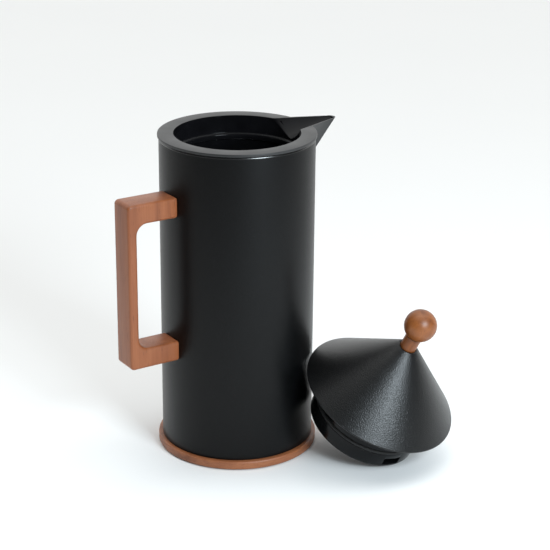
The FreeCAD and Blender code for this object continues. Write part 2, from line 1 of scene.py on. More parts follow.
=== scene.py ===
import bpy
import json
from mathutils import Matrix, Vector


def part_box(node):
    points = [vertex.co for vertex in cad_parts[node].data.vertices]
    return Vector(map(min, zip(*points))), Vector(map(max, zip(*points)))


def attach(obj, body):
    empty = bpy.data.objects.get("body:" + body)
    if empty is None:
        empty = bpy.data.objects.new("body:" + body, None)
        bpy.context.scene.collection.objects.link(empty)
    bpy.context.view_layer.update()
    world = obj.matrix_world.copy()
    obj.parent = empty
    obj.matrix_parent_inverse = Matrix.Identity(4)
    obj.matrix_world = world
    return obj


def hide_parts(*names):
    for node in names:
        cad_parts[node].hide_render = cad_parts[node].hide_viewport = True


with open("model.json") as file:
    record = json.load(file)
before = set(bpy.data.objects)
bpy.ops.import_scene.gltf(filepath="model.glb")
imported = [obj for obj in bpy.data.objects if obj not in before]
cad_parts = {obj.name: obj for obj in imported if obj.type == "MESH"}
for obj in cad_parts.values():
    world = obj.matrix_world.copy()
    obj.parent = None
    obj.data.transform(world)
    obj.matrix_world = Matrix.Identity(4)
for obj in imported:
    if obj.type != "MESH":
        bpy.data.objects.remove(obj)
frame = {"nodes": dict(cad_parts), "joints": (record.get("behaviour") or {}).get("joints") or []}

"""Insulated coffee jug with a wooden handle and a conical lid that leans beside it.

The jug stands on the origin with its axis on +Z, its spout towards +X and its handle towards -X.
Every length is in metres. Shapes that show are rebuilt here as fine meshes in the places of their
CAD nodes; the inner pieces stay as they are and only get their finishes.
"""

import json
import logging
import math
from dataclasses import dataclass, field, replace
from enum import Enum

import bmesh
import bpy
from mathutils import Matrix, Vector

LOG = logging.getLogger("jug")
MM = 0.001
LATHE_STEPS = 192
FINE_LATHE_STEPS = 256
KNOB_LATHE_STEPS = 128
SHARP_ANGLE = 32.0
SOFT_ANGLE = 40.0
ON_AXIS = 1e-7

Profile = list[tuple[float, float]]
Colour = tuple[float, float, float]
WHITE: Colour = (1.0, 1.0, 1.0)


class Grain(Enum):
    """Direction in which wood fibres run, in the piece's own axes."""

    ALONG_X = (0.0, math.radians(90.0), 0.0)
    ALONG_Z = (0.0, 0.0, 0.0)


class Join(Enum):
    """How a second solid is combined with the first."""

    CUT = "DIFFERENCE"
    ADD = "UNION"


class Body(Enum):
    """The rigid bodies that pieces ride on."""

    JUG = "jug"
    KNOB = "knob_carry"
    SEAL = "lid_carry"
    LID = "lid"


# ---------------------------------------------------------------- finishes


class ShaderSheet:
    """A material's node tree with short calls for adding and joining nodes."""

    def __init__(self, name: str) -> None:
        """Start an empty material with its output and a Principled shader.

        Args:
            name: Name of the new material.
        """
        self.material = bpy.data.materials.new(name)
        self.material.use_nodes = True
        self.tree = self.material.node_tree
        self.tree.nodes.clear()
        output = self.tree.nodes.new("ShaderNodeOutputMaterial")
        self.shader = self.tree.nodes.new("ShaderNodeBsdfPrincipled")
        self.join(self.shader.outputs["BSDF"], output.inputs["Surface"])

    def join(self, source: bpy.types.NodeSocket, target: bpy.types.NodeSocket) -> None:
        """Link one socket to another."""
        self.tree.links.new(source, target)

    def constant(self, **values: object) -> None:
        """Set values that hold all over the surface on the shader's own sockets.

        Args:
            **values: Socket names with underscores for spaces, and their values.
        """
        for name, value in values.items():
            self.shader.inputs[name.replace("_", " ")].default_value = value

    def place(self, stretch: Colour = (1.0, 1.0, 1.0),
              turn: Colour = (0.0, 0.0, 0.0)) -> bpy.types.NodeSocket:
        """Give coordinates in the piece's own axes.

        Args:
            stretch: How far the pattern is drawn out along each turned axis.
            turn: Rotation of the pattern in radians.

        Returns:
            The vector socket of the mapped coordinates.
        """
        coords = self.tree.nodes.new("ShaderNodeTexCoord")
        mapping = self.tree.nodes.new("ShaderNodeMapping")
        mapping.vector_type = "TEXTURE"
        mapping.inputs["Scale"].default_value = stretch
        mapping.inputs["Rotation"].default_value = turn
        self.join(coords.outputs["Object"], mapping.inputs["Vector"])
        return mapping.outputs["Vector"]

    def noise(self, where: bpy.types.NodeSocket, scale: float, detail: float = 3.0,
              rough: float = 0.5, twist: float = 0.0) -> bpy.types.NodeSocket:
        """Add a noise texture.

        Args:
            where: Coordinates.
            scale: Features per metre.
            detail: Octaves.
            rough: Weight of the finer octaves.
            twist: Distortion.

        Returns:
            The noise value's socket.
        """
        texture = self.tree.nodes.new("ShaderNodeTexNoise")
        texture.inputs["Scale"].default_value = scale
        texture.inputs["Detail"].default_value = detail
        texture.inputs["Roughness"].default_value = rough
        texture.inputs["Distortion"].default_value = twist
        self.join(where, texture.inputs["Vector"])
        return texture.outputs["Fac"]

    def ramp(self, value: bpy.types.NodeSocket, stops: list[tuple[float, Colour]]) -> bpy.types.NodeSocket:
        """Turn a value into a colour.

        Args:
            value: The driving socket.
            stops: Positions and their colours.

        Returns:
            The colour socket.
        """
        node = self.tree.nodes.new("ShaderNodeValToRGB")
        ramp = node.color_ramp
        for index, (position, colour) in enumerate(stops):
            stop = ramp.elements[index] if index < 2 else ramp.elements.new(position)
            stop.position = position
            stop.color = (*colour, 1.0)
        self.join(value, node.inputs["Fac"])
        return node.outputs["Color"]

    def spread(self, value: bpy.types.NodeSocket, low: float, high: float,
               start: float = 0.3, end: float = 0.7) -> bpy.types.NodeSocket:
        """Map a value's middle range onto a wanted range.

        Args:
            value: The driving socket.
            low: Result at start.
            high: Result at end.
            start: Value that gives low.
            end: Value that gives high.

        Returns:
            The mapped socket.
        """
        node = self.tree.nodes.new("ShaderNodeMapRange")
        node.inputs["From Min"].default_value = start
        node.inputs["From Max"].default_value = end
        node.inputs["To Min"].default_value = low
        node.inputs["To Max"].default_value = high
        self.join(value, node.inputs["Value"])
        return node.outputs["Result"]

    def multiply(self, first: bpy.types.NodeSocket, second: bpy.types.NodeSocket,
                 share: float = 1.0) -> bpy.types.NodeSocket:
        """Darken one colour by another.

        Args:
            first: Colour to darken.
            second: Colour or value that darkens it.
            share: Strength from 0 to 1.

        Returns:
            The resulting colour socket.
        """
        node = self.tree.nodes.new("ShaderNodeMix")
        node.data_type = "RGBA"
        node.blend_type = "MULTIPLY"
        node.inputs["Factor"].default_value = share
        self.join(first, node.inputs["A"])
        self.join(second, node.inputs["B"])
        return node.outputs["Result"]

    def bump(self, height: bpy.types.NodeSocket, depth: float, strength: float,
             under: bpy.types.NodeSocket | None = None) -> bpy.types.NodeSocket:
        """Add surface relief.

        Args:
            height: Height from 0 to 1.
            depth: Real depth in metres of a height of 1.
            strength: Share of that depth used.
            under: Normal of a coarser relief beneath this one.

        Returns:
            The normal socket.
        """
        node = self.tree.nodes.new("ShaderNodeBump")
        node.inputs["Distance"].default_value = depth
        node.inputs["Strength"].default_value = strength
        self.join(height, node.inputs["Height"])
        if under is not None:
            self.join(under, node.inputs["Normal"])
        return node.outputs["Normal"]

    def dress(self, colour: bpy.types.NodeSocket, roughness: bpy.types.NodeSocket,
              normal: bpy.types.NodeSocket) -> bpy.types.Material:
        """Join the three varying inputs and hand back the material."""
        self.join(colour, self.shader.inputs["Base Color"])
        self.join(roughness, self.shader.inputs["Roughness"])
        self.join(normal, self.shader.inputs["Normal"])
        return self.material


@dataclass(frozen=True)
class Finish:
    """A surface finish made of varied colour, varied roughness and fine relief."""

    name: str
    slot: str
    dark: Colour
    light: Colour
    roughness: tuple[float, float]
    patch_scale: float = 60.0
    grit_scale: float = 1500.0
    grit_depth: float = 0.00004
    grit_strength: float = 0.3
    metallic: float = 0.0
    specular: float = 0.5
    coat: float = 0.0
    coat_roughness: float = 0.1

    def material(self) -> bpy.types.Material:
        """Build the finish, or hand back the one already built."""
        title = f"finish_{self.name}"
        made = bpy.data.materials.get(title)
        if made is not None:
            return made
        sheet = ShaderSheet(title)
        sheet.constant(Metallic=self.metallic, Specular_IOR_Level=self.specular,
                       Coat_Weight=self.coat, Coat_Roughness=self.coat_roughness)
        return self.paint(sheet)

    def paint(self, sheet: ShaderSheet) -> bpy.types.Material:
        """Fill the sheet for a plain moulded or sprayed surface.

        Args:
            sheet: Sheet with the constants already set.

        Returns:
            The finished material.
        """
        where = sheet.place()
        patches = sheet.noise(where, self.patch_scale, 4.0)
        grit = sheet.noise(where, self.grit_scale, 2.0, 0.6)
        colour = sheet.ramp(patches, [(0.3, self.dark), (0.7, self.light)])
        rough = sheet.spread(patches, *self.roughness)
        relief = sheet.bump(grit, self.grit_depth, self.grit_strength)
        return sheet.dress(colour, rough, relief)


@dataclass(frozen=True)
class PowderCoat(Finish):
    """Matt black powder coat: fine grains that catch the light one by one."""

    fleck: Colour = (0.075, 0.078, 0.084)
    peel_scale: float = 0.3
    peel_strength: float = 0.12
    cloud_dark: Colour = (0.86, 0.86, 0.86)

    def paint(self, sheet: ShaderSheet) -> bpy.types.Material:
        """Fill the sheet with grains over a faintly clouded ground."""
        where = sheet.place()
        clouds = sheet.noise(where, self.patch_scale, 4.0)
        grains = sheet.noise(where, self.grit_scale, 1.0, 0.5)
        orange_peel = sheet.noise(where, self.grit_scale * self.peel_scale, 2.0)
        ground = sheet.ramp(grains, [(0.35, self.dark), (0.62, self.light), (0.78, self.fleck)])
        shade = sheet.ramp(clouds, [(0.25, self.cloud_dark), (0.75, WHITE)])
        colour = sheet.multiply(ground, shade)
        rough = sheet.spread(grains, self.roughness[1], self.roughness[0])
        broad = sheet.bump(orange_peel, self.grit_depth, self.grit_strength * self.peel_strength)
        relief = sheet.bump(grains, self.grit_depth, self.grit_strength, broad)
        return sheet.dress(colour, rough, relief)


@dataclass(frozen=True)
class OiledWood(Finish):
    """Oiled reddish-brown hardwood with fine straight fibres and short dark pores."""

    middle: Colour = (0.36, 0.145, 0.075)
    turn: Colour = Grain.ALONG_Z.value
    band_scale: float = 110.0
    fibre_scale: float = 1100.0
    fibre_dark: Colour = (0.78, 0.72, 0.68)
    pore_scale: float = 1700.0
    pore_dark: Colour = (0.5, 0.42, 0.38)
    pore_depth: float = 0.00012
    pore_strength: float = 0.25
    streak_share: float = 0.6
    band_length: float = 18.0
    fibre_length: float = 35.0
    pore_length: float = 12.0

    def paint(self, sheet: ShaderSheet) -> bpy.types.Material:
        """Fill the sheet with growth bands, fibres and pores stretched along the grain."""
        bands_at = sheet.place((1.0, 1.0, self.band_length), self.turn)
        fibres_at = sheet.place((1.0, 1.0, self.fibre_length), self.turn)
        pores_at = sheet.place((1.0, 1.0, self.pore_length), self.turn)
        bands = sheet.noise(bands_at, self.band_scale, 3.0, 0.55, 0.3)
        fibres = sheet.noise(fibres_at, self.fibre_scale, 3.0, 0.6)
        pores = sheet.noise(pores_at, self.pore_scale, 1.0, 0.4)
        tone = sheet.ramp(bands, [(0.28, self.dark), (0.5, self.middle), (0.74, self.light)])
        streaks = sheet.ramp(fibres, [(0.3, self.fibre_dark), (0.65, WHITE)])
        specks = sheet.ramp(pores, [(0.26, self.pore_dark), (0.34, WHITE)])
        streaked = sheet.multiply(tone, streaks, self.streak_share)
        colour = sheet.multiply(streaked, specks, self.streak_share)
        rough = sheet.spread(fibres, self.roughness[1], self.roughness[0])
        hollow = sheet.bump(pores, self.pore_depth, self.pore_strength)
        relief = sheet.bump(fibres, self.grit_depth, self.grit_strength, hollow)
        return sheet.dress(colour, rough, relief)


@dataclass(frozen=True)
class BrushedMetal(Finish):
    """Plated or turned metal with fine drawn lines round its axis."""

    line_length: float = 7.0

    def paint(self, sheet: ShaderSheet) -> bpy.types.Material:
        """Fill the sheet with tarnish patches and fine lines."""
        where = sheet.place()
        lines_at = sheet.place((self.line_length, self.line_length, 1.0))
        patches = sheet.noise(where, self.patch_scale, 4.0)
        lines = sheet.noise(lines_at, self.grit_scale, 2.0)
        colour = sheet.ramp(patches, [(0.3, self.dark), (0.7, self.light)])
        rough = sheet.spread(patches, *self.roughness)
        relief = sheet.bump(lines, self.grit_depth, self.grit_strength)
        return sheet.dress(colour, rough, relief)


POWDER = PowderCoat("powder_coat", "powder_coat", (0.0010, 0.0011, 0.0013), (0.0020, 0.0022, 0.0025),
                    (0.30, 0.38), patch_scale=25.0, grit_scale=1900.0, grit_depth=0.0001,
                    grit_strength=0.7, specular=0.19, fleck=(0.006, 0.0065, 0.0075))
CONE_POWDER = replace(POWDER, name="cone_powder", grit_scale=1450.0, grit_depth=0.0002,
                      grit_strength=0.95, specular=0.42)
POWDER_EDGE = replace(POWDER, name="powder_edge", roughness=(0.20, 0.26), specular=0.85,
                      grit_strength=0.1)
RIM_SATIN = Finish("rim_satin", "collar_plastic", (0.011, 0.0113, 0.0118), (0.017, 0.0173, 0.018),
                   (0.36, 0.46), grit_scale=3000.0, grit_strength=0.2)
NECK_GLOSS = Finish("neck_gloss", "collar_plastic", (0.003, 0.003, 0.0035), (0.006, 0.006, 0.007),
                    (0.08, 0.14), grit_scale=400.0, grit_depth=0.00002, grit_strength=0.12,
                    specular=0.1)
PLUG_GLOSS = Finish("plug_gloss", "gloss_plastic", (0.003, 0.0032, 0.0035), (0.005, 0.0053, 0.0058),
                    (0.12, 0.18), grit_scale=500.0, grit_depth=0.00002, grit_strength=0.12,
                    specular=0.22)
HANDLE_WOOD = OiledWood("handle_wood", "wood", (0.205, 0.062, 0.023), (0.35, 0.12, 0.046),
                        (0.32, 0.42), grit_depth=0.00005, grit_strength=0.3,
                        middle=(0.285, 0.091, 0.034), specular=0.4)
RING_WOOD = OiledWood("ring_wood", "wood", (0.20, 0.064, 0.023), (0.37, 0.135, 0.053),
                      (0.38, 0.5), grit_depth=0.00005, grit_strength=0.3,
                      middle=(0.30, 0.103, 0.040), turn=Grain.ALONG_X.value)
KNOB_WOOD = OiledWood("knob_wood", "wood", (0.160, 0.045, 0.009), (0.29, 0.093, 0.020),
                      (0.36, 0.46), grit_depth=0.00004, grit_strength=0.25, band_scale=170.0,
                      middle=(0.225, 0.068, 0.014))
RUBBER = Finish("seal_rubber", "seal_rubber", (0.006, 0.006, 0.006), (0.014, 0.014, 0.014),
                (0.55, 0.7), grit_scale=1800.0, grit_strength=0.2)
SILVERED = Finish("silvered_glass", "glass", (0.72, 0.74, 0.76), (0.84, 0.86, 0.88), (0.03, 0.09),
                  patch_scale=30.0, grit_scale=80.0, grit_depth=0.0001, grit_strength=0.08,
                  metallic=1.0, coat=0.6, coat_roughness=0.03)
MOULDING = Finish("hidden_moulding", "hidden_plastic", (0.05, 0.05, 0.052), (0.075, 0.075, 0.08),
                  (0.45, 0.6))
ZINC = BrushedMetal("zinc_steel", "steel", (0.42, 0.43, 0.45), (0.62, 0.63, 0.65), (0.25, 0.42),
                    grit_scale=2500.0, grit_depth=0.00003, metallic=1.0)
BRASS = BrushedMetal("turned_brass", "brass", (0.55, 0.38, 0.14), (0.75, 0.56, 0.26), (0.2, 0.35),
                     grit_scale=2500.0, grit_depth=0.00003, metallic=1.0)
FOAM = Finish("rigid_foam", "foam", (0.62, 0.6, 0.52), (0.76, 0.74, 0.66), (0.8, 0.95),
              grit_scale=900.0, grit_depth=0.0003, grit_strength=0.6)
FIBRE = Finish("pressed_fibre", "pad_felt", (0.03, 0.03, 0.03), (0.06, 0.058, 0.055), (0.8, 0.95),
               grit_scale=1200.0, grit_depth=0.0002, grit_strength=0.5)

NODE_FINISH: dict[str, Finish] = {
    "liner_outer": SILVERED,
    "liner_spacers": FIBRE,
    "neck_gasket": RUBBER,
    "support_cup": RUBBER,
    "base_closure": MOULDING,
    "ring_seat": FIBRE,
    "base_screws": ZINC,
    "handle_inserts": BRASS,
    "handle_plates": ZINC,
    "handle_screws": ZINC,
    "insulation_disc": FOAM,
    "plate_spacer": FIBRE,
    "lid_plate": ZINC,
    "lid_screws": ZINC,
    "cone_bracket": ZINC,
    "core_tube": ZINC,
    "knob_screw": ZINC,
    "knob_washer": ZINC,
    "knob_insert": BRASS,
}


# ---------------------------------------------------------------- mesh making


def rounded(points: list[tuple[float, float, float]], steps: int = 5) -> Profile:
    """Replace each corner of a closed outline by an arc.

    Args:
        points: Corners as (x, y, radius); a radius of zero keeps the corner sharp.
        steps: Segments in each arc.

    Returns:
        The outline's points in order.
    """
    outline: Profile = []
    count = len(points)
    for index, (x, y, radius) in enumerate(points):
        here = Vector((x, y))
        if radius <= 0.0:
            outline.append((x, y))
            continue
        before = (Vector(points[index - 1][:2]) - here).normalized()
        after = (Vector(points[(index + 1) % count][:2]) - here).normalized()
        half = 0.5 * before.angle(after)
        reach = radius / math.tan(half)
        centre = here + (before + after).normalized() * (radius / math.sin(half))
        start = here + before * reach - centre
        end = here + after * reach - centre
        sweep = start.angle_signed(end)
        for step in range(steps + 1):
            spoke = start.copy()
            spoke.rotate(Matrix.Rotation(-sweep * step / steps, 2))
            outline.append(tuple(centre + spoke))
    return outline


def smooth_by_angle(mesh: bpy.types.Mesh, degrees: float = SHARP_ANGLE) -> None:
    """Shade a mesh smooth except across edges sharper than an angle."""
    mesh.polygons.foreach_set("use_smooth", [True] * len(mesh.polygons))
    mesh.set_sharp_from_angle(angle=math.radians(degrees))
    mesh.update()


def new_piece(name: str, build: bmesh.types.BMesh, degrees: float = SHARP_ANGLE) -> bpy.types.Object:
    """Turn a bmesh into a scene object.

    Args:
        name: Object name.
        build: The bmesh, which is freed.
        degrees: Angle above which an edge stays sharp.

    Returns:
        The new object.
    """
    bmesh.ops.recalc_face_normals(build, faces=build.faces)
    mesh = bpy.data.meshes.new(name)
    build.to_mesh(mesh)
    build.free()
    smooth_by_angle(mesh, degrees)
    piece = bpy.data.objects.new(name, mesh)
    bpy.context.scene.collection.objects.link(piece)
    return piece


def lathe(name: str, outline: Profile, steps: int = LATHE_STEPS) -> bpy.types.Object:
    """Turn a closed outline of (radius, height) points about Z.

    Args:
        name: Object name.
        outline: Closed outline; points on the axis become single vertices.
        steps: Facets round the axis.

    Returns:
        The turned object.
    """
    build = bmesh.new()
    rings = []
    for radius, height in outline:
        if radius < ON_AXIS:
            rings.append([build.verts.new((0.0, 0.0, height))])
            continue
        turns = [2.0 * math.pi * step / steps for step in range(steps)]
        rings.append([build.verts.new((radius * math.cos(t), radius * math.sin(t), height))
                      for t in turns])
    for index, ring in enumerate(rings):
        other = rings[(index + 1) % len(rings)]
        if len(ring) == 1 and len(other) == 1:
            continue
        for step in range(steps):
            after = (step + 1) % steps
            corners = [ring[step % len(ring)], ring[after % len(ring)],
                       other[after % len(other)], other[step % len(other)]]
            build.faces.new(dict.fromkeys(corners))
    return new_piece(name, build)


def prism(name: str, outline: Profile, depth: float) -> bpy.types.Object:
    """Extrude an outline in the XZ plane evenly to both sides of Y.

    Args:
        name: Object name.
        outline: Closed outline of (x, z) points.
        depth: Full width along Y.

    Returns:
        The extruded object.
    """
    build = bmesh.new()
    near = [build.verts.new((x, -0.5 * depth, z)) for x, z in outline]
    far = [build.verts.new((x, 0.5 * depth, z)) for x, z in outline]
    build.faces.new(near)
    build.faces.new(far)
    for index in range(len(outline)):
        build.faces.new([near[index - 1], near[index], far[index], far[index - 1]])
    return new_piece(name, build)


def shell_of(name: str, points: list[Vector], faces: list[list[int]]) -> bpy.types.Object:
    """Make a closed object from points and faces."""
    build = bmesh.new()
    verts = [build.verts.new(point) for point in points]
    for face in faces:
        build.faces.new([verts[index] for index in face])
    return new_piece(name, build)


def bake_modifiers(piece: bpy.types.Object) -> None:
    """Apply a piece's modifiers to its mesh."""
    graph = bpy.context.evaluated_depsgraph_get()
    graph.update()
    mesh = bpy.data.meshes.new_from_object(piece.evaluated_get(graph))
    piece.modifiers.clear()
    piece.data = mesh


def combine(piece: bpy.types.Object, other: bpy.types.Object, how: Join) -> None:
    """Cut or add one solid with another and remove the second.

    Args:
        piece: Object that is changed.
        other: Object that is used up.
        how: Cut or add.
    """
    step = piece.modifiers.new("combine", "BOOLEAN")
    step.operation = how.value
    step.solver = "EXACT"
    step.object = other
    bake_modifiers(piece)
    bpy.data.objects.remove(other)


def soften(piece: bpy.types.Object, radius: float, segments: int = 3,
           degrees: float = SHARP_ANGLE) -> None:
    """Round a piece's sharp edges.

    Args:
        piece: Object that is changed.
        radius: Width of the rounding in metres.
        segments: Facets across the rounding.
        degrees: Least angle of an edge that is rounded.
    """
    step = piece.modifiers.new("soften", "BEVEL")
    step.width = radius
    step.segments = segments
    step.limit_method = "ANGLE"
    step.angle_limit = math.radians(degrees)
    step.use_clamp_overlap = True
    step.harden_normals = False
    bake_modifiers(piece)
    smooth_by_angle(piece.data, SOFT_ANGLE)


def settle(piece: bpy.types.Object, body: Body, finish: Finish, *nodes: str) -> bpy.types.Object:
    """Dress a piece, put it on its body and let it stand for its CAD nodes.

    Args:
        piece: The finished object.
        body: Body that it rides on.
        finish: Its finish.
        *nodes: CAD nodes that it replaces.

    Returns:
        The same object.
    """
    if not piece.data.materials:
        piece.data.materials.append(finish.material())
    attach(piece, body.value)
    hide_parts(*nodes)
    LOG.info("%s rides on %s and stands for %s", piece.name, body.value, ", ".join(nodes))
    return piece


# ---------------------------------------------------------------- jug


@dataclass
class JugBody:
    """Shell, collar with spout, and the silvered bottle inside."""

    wall: float = 1.2 * MM
    lip_width: float = 5.0 * MM
    shell_edge: float = 1.7 * MM
    flange: float = 1.9 * MM
    bore: float = 44.6 * MM
    neck_wall: float = 2.2 * MM
    bead_depth: float = 2.3 * MM
    bead_from: float = 13.2 * MM
    bead_to: float = 17.6 * MM
    spout_root: float = 45.6 * MM
    spout_root_half: float = 17.6 * MM
    spout_tip_half: float = 4.2 * MM
    keel_slope: float = 1.26
    nose_facets: int = 16
    channel_half: float = 16.0 * MM
    channel_end: float = 80.4 * MM
    channel_end_half: float = 2.7 * MM
    half_per_depth: float = 1.48
    channel_power: float = 1.4
    channel_reach: float = 1.09
    channel_from: float = 37.0 * MM
    channel_facets: int = 24
    channel_stations: int = 36
    flare: float = 5.0 * MM
    small_round: float = 0.3 * MM
    window_gap: float = 0.3 * MM
    rim_inner_round: float = 0.25 * MM
    rim_outer_round: float = 0.35 * MM
    bead_foot_round: float = 0.6 * MM
    bead_round: float = 1.0 * MM
    collar_edge: float = 0.22 * MM
    hollow_gap: float = 0.4 * MM
    overshoot: float = 2.0 * MM
    lip_clear: float = 4.0 * MM
    inward_share: float = 0.2
    flat_slope: float = 0.95
    channel_slopes: tuple[float, float] = (0.05, 0.97)
    bore_margin: float = 0.2 * MM
    neck_seam: float = 0.1 * MM
    channel_margin: float = 8.0 * MM
    channel_seam: float = 0.15 * MM
    glass: float = 1.6 * MM
    vacuum: float = 4.0 * MM
    mouth: float = 41.8 * MM
    mouth_depth: float = 2.0 * MM
    lip_round: float = 0.6 * MM
    mouth_round: float = 0.7 * MM
    bottle_corner: float = 20.0 * MM
    shoulder_drop: float = 22.0 * MM
    shoulder_round: float = 30.0 * MM
    bottle_facets: int = 12
    shell_bottom: float = field(init=False)
    shell_top: float = field(init=False)
    radius: float = field(init=False)
    rim: float = field(init=False)
    rim_radius: float = field(init=False)
    tip: float = field(init=False)
    neck_bottom: float = field(init=False)

    def __post_init__(self) -> None:
        """Take the driving sizes from the frame."""
        low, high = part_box("outer_shell")
        self.shell_bottom, self.shell_top, self.radius = low.z, high.z, -low.x
        low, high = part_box("collar")
        self.rim, self.rim_radius, self.tip = high.z, -low.x, high.x
        self.neck_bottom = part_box("neck_gasket")[1].z

    def spout_wedge(self, gap: float) -> bpy.types.Object:
        """Make the spout's outer pyramid, round-nosed at the rim and pointed below.

        Args:
            gap: Extra size all round, for cutting the shell's window.

        Returns:
            The wedge as a closed object.
        """
        radius = self.spout_tip_half + gap
        centre = self.tip + gap - radius
        points = [Vector((self.spout_root, -self.spout_root_half - gap, self.rim))]
        for index in range(self.nose_facets + 1):
            turn = math.radians(-90.0 + 180.0 * index / self.nose_facets)
            points.append(Vector((centre + radius * math.cos(turn), radius * math.sin(turn), self.rim)))
        points.append(Vector((self.spout_root, self.spout_root_half + gap, self.rim)))
        drop = self.keel_slope * (self.tip - self.spout_root)
        points.append(Vector((self.spout_root, 0.0, self.rim - drop - gap)))
        keel = len(points) - 1
        sides = [[index - 1, index, keel] for index in range(1, keel)]
        return shell_of("spout_wedge", points, [list(range(keel)), [keel - 1, 0, keel], *sides])

    def channel_width(self, x: float) -> float:
        """Give the channel's half width at the rim, rounded over where it meets the bore.

        Args:
            x: Distance from the jug's axis.

        Returns:
            Half of the width.
        """
        taper = (self.channel_half - self.channel_end_half) / (self.channel_end - self.bore)
        lean = math.sqrt(1.0 + taper ** 2)
        offset = self.channel_half + taper * self.bore + self.flare * lean
        reach = (self.bore + self.flare) * lean
        centre_x = (taper * offset + math.sqrt(reach ** 2 - offset ** 2)) / lean ** 2
        centre_y = offset - taper * centre_x
        if x > centre_x - self.flare * taper / lean:
            return self.channel_half - taper * (x - self.bore)
        meet = centre_x * self.bore / (self.bore + self.flare)
        return centre_y - math.sqrt(self.flare ** 2 - (max(x, meet) - centre_x) ** 2)

    def channel(self) -> bpy.types.Object:
        """Make the cutter for the pouring channel, round-bottomed and flared at the bore."""
        shares = [self.channel_reach * (2.0 * index / self.channel_facets - 1.0)
                  for index in range(self.channel_facets + 1)]
        count = len(shares)
        points = []
        for step in range(self.channel_stations + 1):
            along = step / self.channel_stations
            x = self.channel_from + (self.channel_end - self.channel_from) * along ** 2
            half = self.channel_width(x)
            edge = math.sqrt(self.bore ** 2 - half ** 2)
            for share in shares:
                y = share * half
                shift = (math.sqrt(self.bore ** 2 - y ** 2) - edge) * (1.0 - along)
                lift = (abs(share) ** self.channel_power - 1.0) * half / self.half_per_depth
                points.append(Vector((x + shift, y, self.rim + lift)))
        faces = [list(range(count)), list(range(len(points) - 1, len(points) - count - 1, -1))]
        for step in range(self.channel_stations):
            for index in range(count):
                here = step * count + index
                beside = step * count + (index + 1) % count
                faces.append([here, beside, beside + count, here + count])
        return shell_of("channel_cutter", points, faces)

    def shell(self) -> bpy.types.Object:
        """Build the metal shell with its rolled top edge and spout window."""
        inner = self.radius - self.wall
        lip = self.radius - self.lip_width
        small = self.small_round
        outline = rounded([
            (self.radius, self.shell_bottom, small), (self.radius, self.shell_top, self.shell_edge),
            (lip, self.shell_top, small), (lip, self.shell_top - self.wall, small),
            (inner, self.shell_top - self.wall, 0.0), (inner, self.shell_bottom, small),
        ])
        piece = lathe("jug_shell", outline)
        combine(piece, self.spout_wedge(self.window_gap), Join.CUT)
        smooth_by_angle(piece.data)
        self.polish_edge(piece.data)
        return settle(piece, Body.JUG, POWDER, "outer_shell")

    def polish_edge(self, mesh: bpy.types.Mesh) -> None:
        """Give the rolled top edge a smoother coat than the wall below it."""
        mesh.materials.clear()
        mesh.materials.append(POWDER.material())
        mesh.materials.append(POWDER_EDGE.material())
        for face in mesh.polygons:
            face.material_index = int(face.center.z > self.shell_top - self.shell_edge)

    def collar(self) -> bpy.types.Object:
        """Build the collar: flange, neck tube, bead, spout and channel, in two finishes."""
        outer = self.bore + self.neck_wall
        under = self.rim - self.flange
        bead_top = self.rim - self.bead_from
        bead_low = self.rim - self.bead_to
        bead = self.bore - self.bead_depth
        outline = rounded([
            (self.bore, self.rim, self.rim_inner_round), (self.bore, bead_top, self.bead_foot_round),
            (bead, bead_top, self.bead_round), (bead, bead_low, self.bead_round),
            (self.bore, bead_low, self.bead_foot_round),
            (self.bore, self.neck_bottom, self.small_round),
            (outer, self.neck_bottom, self.small_round), (outer, under, 0.0),
            (self.rim_radius, under, self.rim_inner_round),
            (self.rim_radius, self.rim, self.rim_outer_round),
        ])
        piece = lathe("jug_collar", outline)
        wedge = self.spout_wedge(0.0)
        hollow = self.plain_rod("neck_hollow", outer - self.hollow_gap, self.rim + self.overshoot)
        combine(wedge, hollow, Join.CUT)
        below = self.plain_rod("below_neck", self.radius - self.lip_clear, self.neck_bottom)
        combine(wedge, below, Join.CUT)
        combine(piece, wedge, Join.ADD)
        combine(piece, self.channel(), Join.CUT)
        soften(piece, self.collar_edge)
        self.split_finishes(piece.data)
        return settle(piece, Body.JUG, RIM_SATIN, "collar")

    def plain_rod(self, name: str, radius: float, height: float) -> bpy.types.Object:
        """Make an upright rod from the floor up, for cutting."""
        return lathe(name, [(0.0, 0.0), (radius, 0.0), (radius, height), (0.0, height)])

    def split_finishes(self, mesh: bpy.types.Mesh) -> None:
        """Give the rim and the spout's outside the satin finish and the inside the gloss."""
        mesh.materials.clear()
        mesh.materials.append(RIM_SATIN.material())
        mesh.materials.append(NECK_GLOSS.material())
        for face in mesh.polygons:
            across = math.hypot(face.center.x, face.center.y)
            outwards = face.normal.x * face.center.x + face.normal.y * face.center.y
            under_rim = self.rim - face.center.z
            inward = outwards < -self.inward_share * across
            in_neck = across < self.bore + self.bore_margin and under_rim > self.neck_seam
            sloping = self.channel_slopes[0] < face.normal.z < self.channel_slopes[1]
            past_root = face.center.x > self.spout_root - self.channel_margin
            in_channel = past_root and sloping and under_rim > self.channel_seam
            flat = face.normal.z > self.flat_slope
            face.material_index = int((in_neck or in_channel or inward) and not flat)

